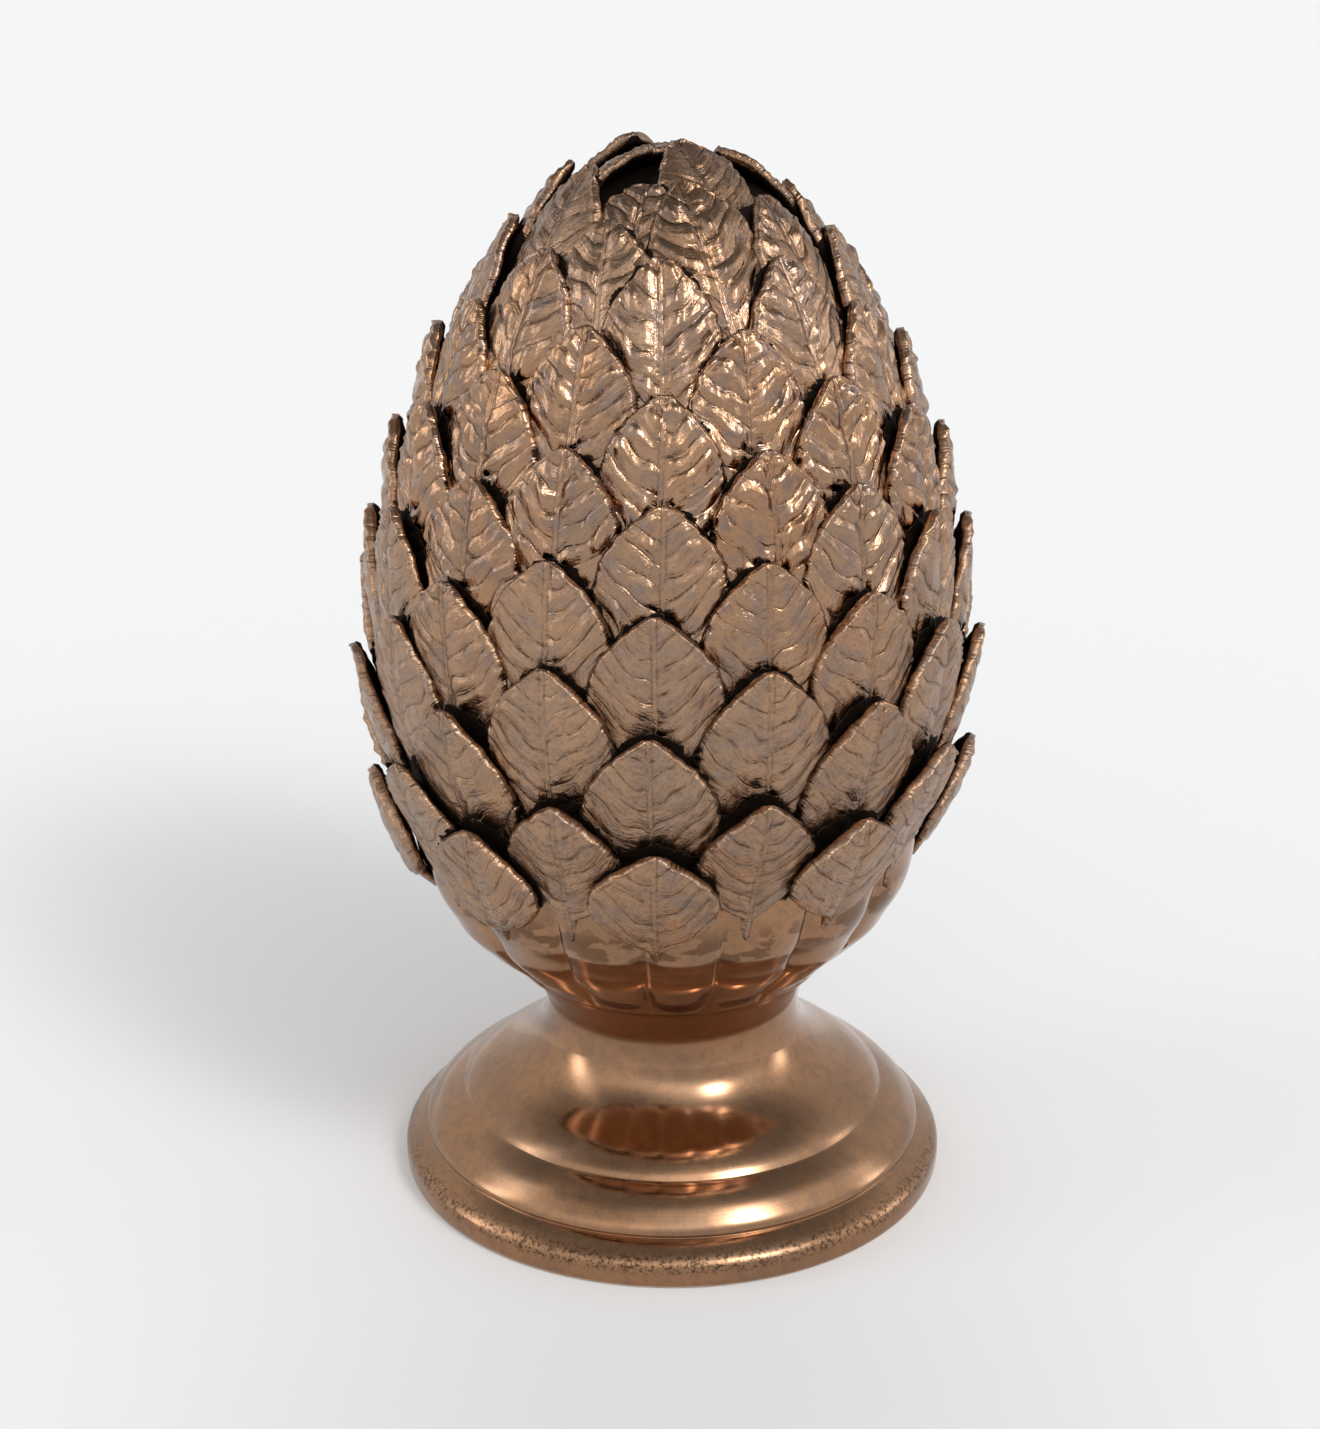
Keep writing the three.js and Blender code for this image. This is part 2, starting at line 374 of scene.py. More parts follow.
leafGlazeSet = {
    "bronze": (0.325, 0.197, 0.122),
    "copper": (0.40, 0.22, 0.118),
    "violet": (0.22, 0.165, 0.15),
    "pale": (0.42, 0.29, 0.20),
    # colour of the painted shade in the veins and midrib over glaze pooled there, also of the glaze's own
    # streaks and grain
    "groove": (0.07, 0.035, 0.018),
    # painted black shade in the gaps between the leaves
    "gapShade": (0.010, 0.006, 0.004),
    "rough": 0.115,
    "flatRough": 0.19,  # added on the flatter leaves
    "gapRough": 0.4,  # added where black shade is painted
    "shine": 1.12,  # index of refraction under the lustre
    "violetShare": 0.75,
    "mostDark": 0.85,
    "crown": (0.405, 0.44),  # heights in metres between which the glaze darkens
    "patchScale": 34.0,
    "cloudScale": 110.0,
    "grainScale": 700.0,
    "jagScale": 190.0,
    "jagDepth": 8.0,  # mm by which the painted shade's black edge wanders
    "gapEdge": (-0.25, 0.2),
    # cells of noise for each vein and each mm across, and where in the noise they are read
    "streak": (3.4, 0.11, 0.0),
    "hair": (11.0, 0.3, 3.0),
    "pucker": (1.3, 0.34, 9.0),
    "leafShift": 40.0,
    "bumpStrength": 0.45,
    "bumpDepth": 0.0012,
}


def leafGlaze(values):
    # bronze lustre: patches of copper and violet, darker towards the crown, with painted shade in the veins
    # over glaze pooled there, painted black shade in the gaps between the leaves, and fine streaks that run
    # along the side veins and cross puckers between them
    material, start = newGlaze("leafLustre")
    place = start.node("TexCoord", output="Object")
    level = start.node("SeparateXYZ", None, {0: place}, output="Z")
    field = start.node("Attribute", {"attribute_name": "veinField"}, output="Vector")
    x = start.node("SeparateXYZ", None, {0: field}, output="X")
    u = start.node("SeparateXYZ", None, {0: field}, output="Z")
    groove = painted(start, "groove")
    gapShade = painted(start, "gapShade")
    tone = painted(start, "tone")
    quilt = painted(start, "quilt")
    away = start.math("ABSOLUTE", x)
    patch = noise(start, place, values["patchScale"], 4.0, 0.6)
    cloud = noise(start, place, values["cloudScale"], 5.0, 0.65)
    fine = noise(start, place, values["grainScale"], 3.0, 0.6)

    def alongVeins(name, detail, rough):
        # noise drawn out along the side veins, from another part of it for each leaf
        perVein, perMm, shift = values[name]
        leafPart = tone * values["leafShift"] + shift
        vector = start.node("CombineXYZ", None, {0: u * perVein, 1: x * perMm, 2: leafPart})
        return noise(start, vector, 1.0, detail, rough)

    streak = alongVeins("streak", 4.0, 0.62)
    hairs = alongVeins("hair", 3.0, 0.6)
    pucker = alongVeins("pucker", 3.0, 0.6)
    off = start.math("ABSOLUTE", start.math("FRACT", u) - 0.5)
    vein = off.between(0.43, 0.5) * pucker.between(0.38, 0.6) * away.between(0.4, 2.0)
    rib = start.math("ABSOLUTE", away - 1.1).between(0.7, 0.1)
    base = patch.between(0.40, 0.66).mix(colour(*values["bronze"]), colour(*values["copper"]))
    base = (cloud.between(0.44, 0.66) * values["violetShare"]).mix(base, colour(*values["violet"]))
    light = tone * 0.2 + cloud.between(0.52, 0.3) * 0.25 + (1.0 - quilt) * 0.35
    base = light.mix(base, colour(*values["pale"]))
    # painted shade in the vein grooves and along the midrib over glaze pooled there, the glaze's own
    # streaks and grain, and darker towards the crown
    shadeAndGrain = groove * 0.3 + vein * 0.5 + rib * pucker.between(0.35, 0.6) * 0.35
    shadeAndGrain = shadeAndGrain + streak.between(0.55, 0.75) * 0.35 + fine.between(0.5, 0.68) * (0.3 - quilt * 0.2)
    shadeAndGrain = shadeAndGrain + hairs.between(0.5, 0.72) * (0.55 - quilt * 0.35) + level.between(*values["crown"]) * 0.3
    shadeAndGrain = start.math("MINIMUM", shadeAndGrain, values["mostDark"])
    base = shadeAndGrain.mix(base, colour(*values["groove"]))
    # painted black shade in the gaps, with a ragged edge, over the painted dark reflection
    jag = noise(start, place, values["jagScale"], 4.0, 0.6)
    shade = (gapShade + (jag - 0.5) * values["jagDepth"]).between(*values["gapEdge"])
    base = shade.mix(paintedReflection(start, place, base, reflectionSet), colour(*values["gapShade"]))
    rough = values["rough"] + (1.0 - quilt) * values["flatRough"] + (cloud - 0.5) * 0.2 + groove * 0.08
    height = streak * (1.5 - quilt * 0.7) + hairs * (1.0 - quilt) * 0.9 + pucker * 0.6
    height = height + fine * (0.6 - quilt * 0.45) + cloud * 0.3 - vein * 0.6 - rib * 0.2
    finishGlaze(start, {
        "Base Color": base,
        "Metallic": 1.0 - shade,
        "Roughness": rough + shade * values["gapRough"],
        "IOR": values["shine"],
        "Normal": bumped(start, height, values),
    })
    return material


footGlazeSet = {
    "copper": (0.352, 0.193, 0.105),
    "brown": (0.283, 0.168, 0.100),
    "orange": (0.31, 0.15, 0.073),
    "dull": (0.23, 0.135, 0.088),
    "speckle": (0.05, 0.028, 0.018),
    "clay": (0.50, 0.38, 0.30),
    # painted black shade behind the leaves
    "gapShade": (0.010, 0.006, 0.004),
    "rough": 0.12,
    "gapRough": 0.4,
    "shine": 1.12,
    "dullShare": 0.5,
    "orangeShare": 0.7,
    "speckShare": 0.8,
    "cloudScale": 22.0,
    "mottleScale": 190.0,
    "speckScale": 620.0,
    "jagScale": 260.0,
    "jagDepth": 3.0,
    "gapEdge": (-0.5, 0.4),
    "bumpStrength": 0.2,
    "bumpDepth": 0.0006,
    # heights in metres over which each tint comes in and goes out again
    "cupLow": (0.074, 0.088),
    "cupHigh": (0.14, 0.125),
    "rimLow": (0.0055, 0.0095),
    "rimHigh": (0.0165, 0.0125),
    "bareEdge": (0.0016, 0.0008),
}


def footGlaze(values):
    # copper lustre, smoother and redder than on the leaves, with a dark speckled band round the rim, a bare
    # clay edge where the foot stands, painted black shade behind the leaves and a painted dark reflection
    # where the lowest leaves end
    material, start = newGlaze("footLustre")
    place = start.node("TexCoord", output="Object")
    height = start.node("SeparateXYZ", None, {0: place}, output="Z")
    cloud = noise(start, place, values["cloudScale"], 5.0, 0.62)
    pits = noise(start, place, values["speckScale"], 4.0, 0.7)
    turned = start.node("CombineXYZ", None, {0: height * 900.0, 1: height * 7.0})
    lathe = noise(start, turned, 1.0, 2.0)
    mottle = noise(start, place, values["mottleScale"], 5.0, 0.7)
    base = cloud.between(0.4, 0.66).mix(colour(*values["copper"]), colour(*values["brown"]))
    base = (mottle.between(0.45, 0.62) * values["dullShare"]).mix(base, colour(*values["dull"]))
    cup = height.between(*values["cupLow"]) * height.between(*values["cupHigh"])
    base = (cup * values["orangeShare"]).mix(base, colour(*values["orange"]))
    band = height.between(*values["rimLow"]) * height.between(*values["rimHigh"])
    speck = pits.between(0.5, 0.58) * band
    base = (speck * values["speckShare"]).mix(base, colour(*values["speckle"]))
    # painted dark reflection where the lowest leaves end
    base = paintedReflection(start, place, base, reflectionSet)
    # painted black shade behind the leaves, with a ragged edge
    jag = noise(start, place, values["jagScale"], 2.0)
    shade = (painted(start, "gapShade") + (jag - 0.5) * values["jagDepth"]).between(*values["gapEdge"])
    base = shade.mix(base, colour(*values["gapShade"]))
    bare = height.between(*values["bareEdge"])
    base = bare.mix(base, colour(*values["clay"]))
    rough = values["rough"] + (cloud - 0.5) * 0.16 + band * 0.12 + bare * 0.4
    relief = cloud * 0.5 + pits * (band * 0.6 + 0.06) + lathe * 0.12
    finishGlaze(start, {
        "Base Color": base,
        "Metallic": (1.0 - bare) * (1.0 - shade),
        "Roughness": rough + shade * values["gapRough"],
        "IOR": values["shine"],
        "Normal": bumped(start, relief, values),
    })
    return material


leafMaterial = leafGlaze(leafGlazeSet)
footMaterial = footGlaze(footGlazeSet)
print("glazes made")


# Foot, neck, fluted cup and the egg behind the leaves, turned as one shell.

footSet = {
    "under": [(4.0, 6.0), (60.0, 6.0), (92.0, 6.0), (95.0, 5.0), (97.0, 1.2), (99.0, 0.0)],
    "rim": [(99.0, 0.0), (108.0, 0.0), (115.6, 0.0), (117.4, 0.7), (118.3, 2.6), (118.5, 6.0), (118.3, 9.6),
            (117.4, 11.6), (115.8, 13.3), (113.0, 15.4), (110.4, 17.0), (108.6, 17.9), (107.8, 18.5)],
    "lowRoll": [(107.8, 18.5), (108.7, 19.4), (108.9, 20.8), (108.1, 22.8), (106.2, 25.3), (102.3, 29.5),
                (98.4, 32.5), (95.0, 34.6), (93.2, 35.6), (92.1, 36.3)],
    "shoulder": [(92.1, 36.3), (91.4, 37.2), (89.9, 39.0), (86.6, 41.9), (81.1, 45.7), (73.6, 49.9),
                 (66.9, 54.5), (61.7, 59.3), (57.9, 64.4), (55.8, 70.0), (55.2, 75.5), (55.4, 80.0),
                 (56.6, 85.5), (59.6, 91.5), (63.2, 97.4), (65.0, 100.4), (66.4, 101.4)],
    "columns": 360,
    "fluteCount": 16,
    "fluteDepth": 5.4,
    "flutePower": 2.3,
    "creaseShare": 0.2,  # of the depth, in a crease between each two lobes
    "creaseWidth": 0.03,  # in flutes
    "fluteRise": (102.0, 116.0),  # heights over which the flutes deepen
    "fluteFade": (150.0, 178.0),  # and over which they run out
    "frontSqueeze": 5.0,  # degrees by which the flutes crowd together at the front
    "turn": 3.5,
    "cupRows": 58,
    "eggRows": 36,
    "eggEnds": (172.0, 175.0, 425.0),  # top of the close rows, and both ends of the wide ones
    "capRise": 19.0,
    "capRows": 14,
    "capStart": 0.12,
    "swell": (1.6, 127.0, 7.0),  # mm outwards, height of its middle and half its width
    "pinch": (2.0, 106.0, 6.0),  # the same, inwards
    "taper": (0.05, 390.0),  # mm inwards for each mm over a height
    "gapShrink": 2.0,  # the painted shade band is this much narrower than on the leaves
    "gapBottom": 136.0,  # and is nowhere under this height
    "eggShade": (0.6, 171.0),  # painted shade on the egg behind the leaves: mm into the band for each mm over a height
}


def curveThrough(points, perSpan):
    # Catmull-Rom curve through the points, each span given by its cubic in t
    p = np.array(points, float)
    p = np.concatenate([[2 * p[0] - p[1]], p, [2 * p[-1] - p[-2]]])
    t = (np.arange(perSpan) / perSpan)[:, None]
    spans = []
    for a, b, c, d in zip(p[:-3], p[1:-2], p[2:-1], p[3:]):
        square = 2 * a - 5 * b + 4 * c - d
        cube = 3 * b - a - 3 * c + d
        spans.append(0.5 * (2 * b + (c - a) * t + square * t ** 2 + cube * t ** 3))
    return np.concatenate(spans)


def hump(z, size, middle, width):
    # a bell shape: size * exp(-((z - middle) / width)^2)
    return size * np.exp(-((z - middle) / width) ** 2)


def cupSection(values):
    # the cup from its turned ring up, swelled at the flutes' lower ends and pinched under them, then the
    # egg behind the leaves up to a quarter turn of cap
    closeTop, eggLow, eggHigh = values["eggEnds"]
    cup = np.linspace(bodySet["cupBottom"] + 0.2, closeTop, values["cupRows"])
    egg = np.linspace(eggLow, eggHigh, values["eggRows"])
    z = np.concatenate([cup, egg])
    free = smoothStep(z, *bodySet["leafStart"])
    rate, taperFrom = values["taper"]
    r = bodySection(z) - bodySet["coreGap"] * free - rate * np.maximum(0.0, z - taperFrom)
    r = r + hump(z, *values["swell"]) - hump(z, *values["pinch"])
    turn = np.linspace(values["capStart"], math.pi / 2, values["capRows"])[:-1]
    capR = r[-1] * np.cos(turn)
    capZ = eggHigh + values["capRise"] * np.sin(turn)
    return np.stack([np.concatenate([r, capR]), np.concatenate([z, capZ])], -1)


def gapAllRound(lower, distance, angle, r):
    # the painted shade band's field for a shell that runs all round, taken in eighths of a turn
    field = np.full(distance.shape, -leafSet["gapLimit"])
    azimuth = np.broadcast_to(angle, distance.shape)
    for k in range(8):
        middle = math.pi * (k + 0.5) / 4.0
        columns = np.abs((azimuth[0] - middle + math.pi) % (2 * math.pi) - math.pi) <= math.pi / 8.0 + 0.01
        part = gapField(lower, middle, distance[:, columns], azimuth[:, columns], r[:, columns])
        field[:, columns] = np.maximum(field[:, columns], part)
    return field


def makeFoot(values, leaves):
    # radius = section - flute depth * share at that height * how near the crease between two lobes,
    # turned about the axis
    section = np.concatenate([
        curveThrough(values["under"], 2),
        curveThrough(values["rim"], 3),
        curveThrough(values["lowRoll"], 4),
        curveThrough(values["shoulder"], 3),
        cupSection(values),
    ])
    r = section[:, 0][:, None]
    z = section[:, 1][:, None]
    step = np.linspace(0.0, 2 * math.pi, values["columns"], endpoint=False)[None, :]
    lobe = step * values["fluteCount"] / (2 * math.pi)
    squeeze = math.radians(values["frontSqueeze"])
    angle = step - squeeze * np.sin(2 * step) + math.radians(values["turn"])
    share = smoothStep(z, *values["fluteRise"]) * (1.0 - smoothStep(z, *values["fluteFade"]))
    fromMiddle = np.abs(lobe - np.round(lobe))
    sharp = values["creaseShare"]
    crease = hump(fromMiddle, sharp, 0.5, values["creaseWidth"])
    lobeFall = (1.0 - sharp) * (2.0 * fromMiddle) ** values["flutePower"]
    r = r - share * values["fluteDepth"] * (lobeFall + crease)
    x = bodyOffset(z) + r * np.sin(angle)
    y = -r * np.cos(angle)
    grid = np.stack([x, y, np.broadcast_to(z, x.shape)], -1)
    height = grid[..., 2]
    distance = np.interp(height, side["z"], side["s"])
    # painted shade: the band round the lowest leaves, and the egg going black with height behind the leaves
    low = [leaf for leaf in leaves if leaf["ring"] < 4]
    rate, darkFrom = values["eggShade"]
    limit = leafSet["gapLimit"]
    gapShade = gapAllRound(low, distance, angle, r) - values["gapShrink"]
    gapShade = np.clip(np.maximum(gapShade, (height - darkFrom) * rate), -limit, limit)
    gapShade = np.where(height < values["gapBottom"], -limit, gapShade)
    parts = MeshParts()
    topHeight = values["eggEnds"][2] + values["capRise"]
    bottom = [0.0, 0.0, values["under"][0][1]]
    parts.addTube(grid, {"gapShade": gapShade[..., None]}, [bottom, [bodyOffset(topHeight), 0.0, topHeight]])
    return addPiece("foot_and_cup", parts.mesh("foot_and_cup"), footMaterial)


# Leaves. Rings run from the lowest up. tip is the height of the tips, half is 1 where the leaves stand
# between those of the ring below, rise how much higher the tips are on the right, squeeze the crowding
# at the front in degrees, drift how far the leaves at the sides lie round to the right, lift how far
# the tips stand out and quilt how strongly the glaze swells between the veins.
leafRings = [
    {"count": 9, "tip": 204.5, "half": 0, "width": 54.0, "length": 63.0, "turn": -2.5, "rise": 6.0,
     "squeeze": 1.3, "drift": 4.2, "lift": 1.0, "quilt": 0.32},
    {"count": 9, "tip": 222.0, "half": 1, "width": 50.0, "length": 75.0, "turn": -1.9, "rise": 3.0,
     "squeeze": 1.8, "drift": 4.6, "lift": 1.5, "quilt": 0.32},
    {"count": 9, "tip": 255.5, "half": 0, "width": 57.0, "length": 80.0, "turn": -3.3, "rise": 4.0,
     "squeeze": -1.0, "drift": 4.5, "lift": 1.0, "quilt": 0.36},
    {"count": 9, "tip": 279.0, "half": 1, "width": 57.0, "length": 77.0, "turn": -2.7, "rise": -1.0,
     "squeeze": 0.0, "drift": 4.5, "lift": 0.0, "quilt": 0.42},
    {"count": 8, "tip": 302.5, "half": 0, "width": 56.5, "length": 74.0, "turn": -2.6, "rise": 0.0,
     "squeeze": 2.4, "drift": 0.0, "lift": 0.0, "quilt": 0.5},
    {"count": 8, "tip": 320.5, "half": 1, "width": 54.5, "length": 72.0, "turn": -2.0, "rise": 0.0,
     "squeeze": 2.6, "drift": 0.0, "lift": 0.0, "quilt": 0.6},
    {"count": 8, "tip": 343.0, "half": 0, "width": 54.5, "length": 71.0, "turn": -0.8, "rise": -1.0,
     "squeeze": 3.0, "drift": 0.0, "lift": 0.0, "quilt": 0.8},
    {"count": 8, "tip": 362.0, "half": 1, "width": 52.0, "length": 70.0, "turn": -0.5, "rise": -1.0,
     "squeeze": 1.2, "drift": 0.0, "lift": 0.0, "quilt": 1.0},
    {"count": 8, "tip": 382.0, "half": 0, "width": 50.0, "length": 68.0, "turn": -1.0, "rise": -1.0,
     "squeeze": 1.4, "drift": 0.0, "lift": 0.0, "quilt": 1.0},
    {"count": 8, "tip": 402.0, "half": 1, "width": 50.0, "length": 72.0, "turn": -1.1, "rise": 0.0,
     "squeeze": 1.0, "drift": 0.0, "lift": 0.0, "quilt": 0.9},
    {"count": 8, "tip": 425.0, "half": 0, "width": 51.0, "length": 80.0, "turn": -3.0, "rise": -1.0,
     "squeeze": 0.5, "drift": 0.0, "lift": 1.0, "quilt": 0.8},
]

# Leaves of the crown, each with its own place; lean turns the base to the right as seen from outside,
# and roll lifts the leaf's right edge, in mm for each mm from its middle.
crownLeaves = [
    {"angle": 7.0, "tip": 449.0, "width": 52.0, "length": 90.0, "lean": 14.0, "lift": 1.0, "quilt": 0.8},
    {"angle": -27.5, "tip": 437.0, "width": 51.0, "length": 78.0, "lean": 9.0, "lift": 0.0, "quilt": 0.7},
    {"angle": 56.0, "tip": 442.0, "width": 42.0, "length": 80.0, "lean": -2.0, "lift": 0.0, "quilt": 0.7},
    {"angle": 99.0, "tip": 439.0, "width": 42.0, "length": 76.0, "lean": 0.0, "lift": 1.5, "quilt": 0.6},
    {"angle": 142.0, "tip": 440.0, "width": 44.0, "length": 78.0, "lean": 0.0, "lift": 0.0, "quilt": 0.6},
    {"angle": -172.0, "tip": 441.0, "width": 44.0, "length": 78.0, "lean": 2.0, "lift": 0.0, "quilt": 0.6},
    {"angle": -137.0, "tip": 440.0, "width": 44.0, "length": 78.0, "lean": 0.0, "lift": 0.0, "quilt": 0.6},
    {"angle": -103.0, "tip": 445.5, "width": 40.0, "length": 80.0, "lean": 0.0, "lift": 2.5, "quilt": 0.6},
    {"angle": -67.0, "tip": 450.0, "width": 43.0, "length": 84.0, "lean": 15.0, "lift": 1.0, "quilt": 0.5},
    {"angle": 15.0, "tip": 459.6, "width": 42.0, "length": 70.0, "lean": 15.0, "lift": 0.0, "quilt": 0.4},
    {"angle": 104.0, "tip": 455.0, "width": 36.0, "length": 62.0, "lean": 6.0, "lift": -2.0, "roll": -0.4,
     "quilt": 0.5},
    {"angle": 140.0, "tip": 449.0, "width": 38.0, "length": 64.0, "lean": 0.0, "lift": 0.0, "quilt": 0.5},
    {"angle": -178.0, "tip": 450.0, "width": 40.0, "length": 66.0, "lean": 0.0, "lift": 0.0, "quilt": 0.5},
    {"angle": -142.0, "tip": 455.0, "width": 42.0, "length": 66.0, "lean": -8.0, "lift": 2.0, "quilt": 0.4},
    {"angle": -86.0, "tip": 460.0, "width": 42.0, "length": 64.0, "lean": 2.0, "lift": -5.0, "roll": 0.4,
     "quilt": 0.4},
]

# Small leaves that close the crown behind, low inside the others.
innerLeaves = [
    {"angle": 152.0, "tip": 459.6, "width": 46.0, "length": 54.0, "lean": 6.0, "lift": -9.0, "quilt": 0.4},
    {"angle": -150.0, "tip": 460.2, "width": 46.0, "length": 54.0, "lean": -5.0, "lift": -7.0,
     "quilt": 0.4},
    {"angle": 92.0, "tip": 460.0, "width": 40.0, "length": 44.0, "lean": 0.0, "lift": -12.0, "quilt": 0.4},
]

# A torn, glossy tongue of glaze that hangs in the opening of the crown.
crownTongue = {"angle": -16.0, "tip": 450.5, "width": 48.0, "length": 56.0, "lean": 0.0, "lift": -4.0,
               "quilt": 0.7, "ragged": 2.4}

leafSet = {
    "thickness": 4.6,
    "thickSpread": 0.12,  # share by which one leaf differs from another
    "tipSpread": 1.2,
    "leanSpread": 2.5,
    "veinStep": 10.5,
    "veinRise": 0.38,
    "veinCurl": 0.02,
    "veinWarp": 0.33,
    "veinHalf": 0.8,
    # relief in mm, and the size of each kind of unevenness: mm across, and mm along or cells for each vein
    "pillow": 1.5,
    "pucker": 1.3,
    "streak": 0.55,
    "wave": 1.1,
    "rim": 0.95,
    "rimHalf": 1.2,
    "rimInset": 1.5,
    "warpSize": (13.0, 15.0),
    "waveSize": (21.0, 19.0),
    "puckerSize": (3.9, 1.15),
    "ridgeSize": (10.0, 2.9),
    "ribHalf": 0.7,
    "valleyHalf": 3.6,
    "crenation": 0.75,
    "notchSizes": (3.6, 1.9),
    "roundTip": 2.4,
    "gapNear": 0.2,  # how far the painted shade reaches round a lower leaf, at its sides
    "gapTip": 1.8,  # and above its tip
    "gapWidens": (0.62, 1.0),  # shares of the length between which the one becomes the other
    "gapLimit": 6.0,  # how far in and out the painted shade band is measured
    "gapTurn": 1.3,  # leaves further round than this are out of its reach
    "tipHalf": 1.5,
    "below": (3.0, 95.0),  # how much lower the tips of the leaves in front can be
    "frontTurn": -0.3,  # cosine past which a leaf is at the back
    "stemRings": 2,  # lowest rings, whose leaves narrow to a stem
    "backShade": (0.88, 30.0, 3.0),  # painted shade on a leaf's back: share of the half width, mm for each share, most
    "frontGrid": (68, 56, 12),  # rows, points over the front and points behind
    "backGrid": (38, 30, 8),  # the same for the leaves at the back of the body
    "outline": [(0.0, 0.8), (0.15, 0.91), (0.3, 0.975), (0.42, 1.0), (0.52, 1.0), (0.62, 0.94),
                (0.715, 0.84), (0.785, 0.72), (0.85, 0.56), (0.9, 0.42), (0.946, 0.29), (0.98, 0.17),
                (1.0, 0.05)],
    "stemOutline": [(0.0, 0.05), (0.04, 0.09), (0.14, 0.11), (0.175, 0.2), (0.22, 0.44), (0.3, 0.7),
                    (0.42, 0.93), (0.54, 1.0), (0.64, 0.965), (0.73, 0.86), (0.79, 0.74), (0.86, 0.56),
                    (0.92, 0.37), (0.97, 0.2), (1.0, 0.05)],
}


def smoothOutline(points):
    # the outline's share of the half width against the share of the length, its corners rounded off
    v = np.linspace(0.0, 1.0, 241)
    table = np.array(points)
    share = np.interp(v, table[:, 0], table[:, 1])
    share = np.convolve(np.pad(share, 7, mode="edge"), np.hanning(15) / np.hanning(15).sum(), mode="valid")
    return v, share


outlines = {"plain": smoothOutline(leafSet["outline"]), "stem": smoothOutline(leafSet["stemOutline"])}


def leafHeight(x, s, half, leaf):
    # relief in mm over the leaf's front: side veins lie where (s - rise |x| - curl x^2) / step is whole,
    # warped by noise; between them the glaze swells in pillows broken by cross puckers and by ridges
    # along the veins, a fine rib runs up the middle of a shallow valley, and long waves bend the leaf
    seed = leaf["seed"]
    quilt = leaf["quilt"]
    step = leafSet["veinStep"] * (1.0 + 0.14 * spread(seed, 1))
    hand = np.where(x < 0.0, 0.4, 0.0)
    away = np.abs(x)
    rise = leafSet["veinRise"] * away + leafSet["veinCurl"] * away ** 2
    u = (s - rise) / step + hand + 0.5 * spread(seed, 2)
    wide, tall = leafSet["warpSize"]
    u = u + leafSet["veinWarp"] * dapple(x / wide, s / tall, seed) * smoothStep(away, 0.0, 5.0)
    cell = u - np.floor(u)
    pillow = (1.0 - (2.0 * cell - 1.0) ** 2) * smoothStep(away, 0.5, 4.0)
    strength = np.clip(0.75 + 0.8 * dapple(x / 12.0 + 5.0, u * 0.9, seed + 3.1), 0.1, 1.6)
    toVein = np.minimum(cell, 1.0 - cell) * step
    line = np.exp(-(toVein / leafSet["veinHalf"]) ** 2) * np.clip(strength - 0.2, 0.0, 1.0)
    wide, perVein = leafSet["puckerSize"]
    pucker = dapple(x / wide, u * perVein, seed + 7.7)
    wide, perVein = leafSet["ridgeSize"]
    ridge = dapple(x / wide, u * perVein, seed + 1.9)
    rib = np.exp(-(x / leafSet["ribHalf"]) ** 2) * (0.7 + 0.9 * dapple(s / 8.0, 3.5, seed + 8.8))
    valley = np.exp(-(x / leafSet["valleyHalf"]) ** 2)
    wide, tall = leafSet["waveSize"]
    wave = dapple(x / wide, s / tall, seed + 5.3)
    inside = smoothStep(half - away, 0.5, 6.5)
    full = leafSet["pillow"] * pillow * strength * quilt
    full = full + leafSet["pucker"] * (0.1 + 0.9 * quilt) * (0.35 + 0.65 * pillow) * pucker * strength
    full = full + leafSet["streak"] * (0.35 + 0.65 * quilt) * ridge
    full = full - (0.22 + 0.45 * quilt) * line
    height = inside * full - (0.35 + 0.8 * quilt) * valley + (0.3 + 0.3 * quilt) * rib
    bead = 0.65 + 1.3 * dapple(s / 3.0, np.sign(x) * 4.0, seed + 2.2)
    fromRim = half - away - leafSet["rimInset"]
    rim = leafSet["rim"] * bead * np.exp(-(fromRim / leafSet["rimHalf"]) ** 2)
    height = height + rim * smoothStep(s / leaf["length"], 0.3, 0.6)
    height = height + leafSet["wave"] * (0.3 + 0.7 * quilt) * wave
    return height, inside * line, u


def inLeaf(leaf, distance, azimuth, reach):
    # a point's place in a leaf's own flat, across its middle line and up from its base, by undoing placed
    r = onSide(distance, "r")
    bend = np.maximum(r, bodySet["leastBend"])
    turn = azimuth - leaf["angle"]
    turn = np.arctan2(reach * np.sin(turn), reach * np.cos(turn) - (r - bend))
    sideways = turn * bend
    run = distance - leaf["tipDistance"]
    lean = leaf["lean"]
    x = sideways * math.cos(lean) + run * math.sin(lean)
    return x, leaf["length"] + run * math.cos(lean) - sideways * math.sin(lean)


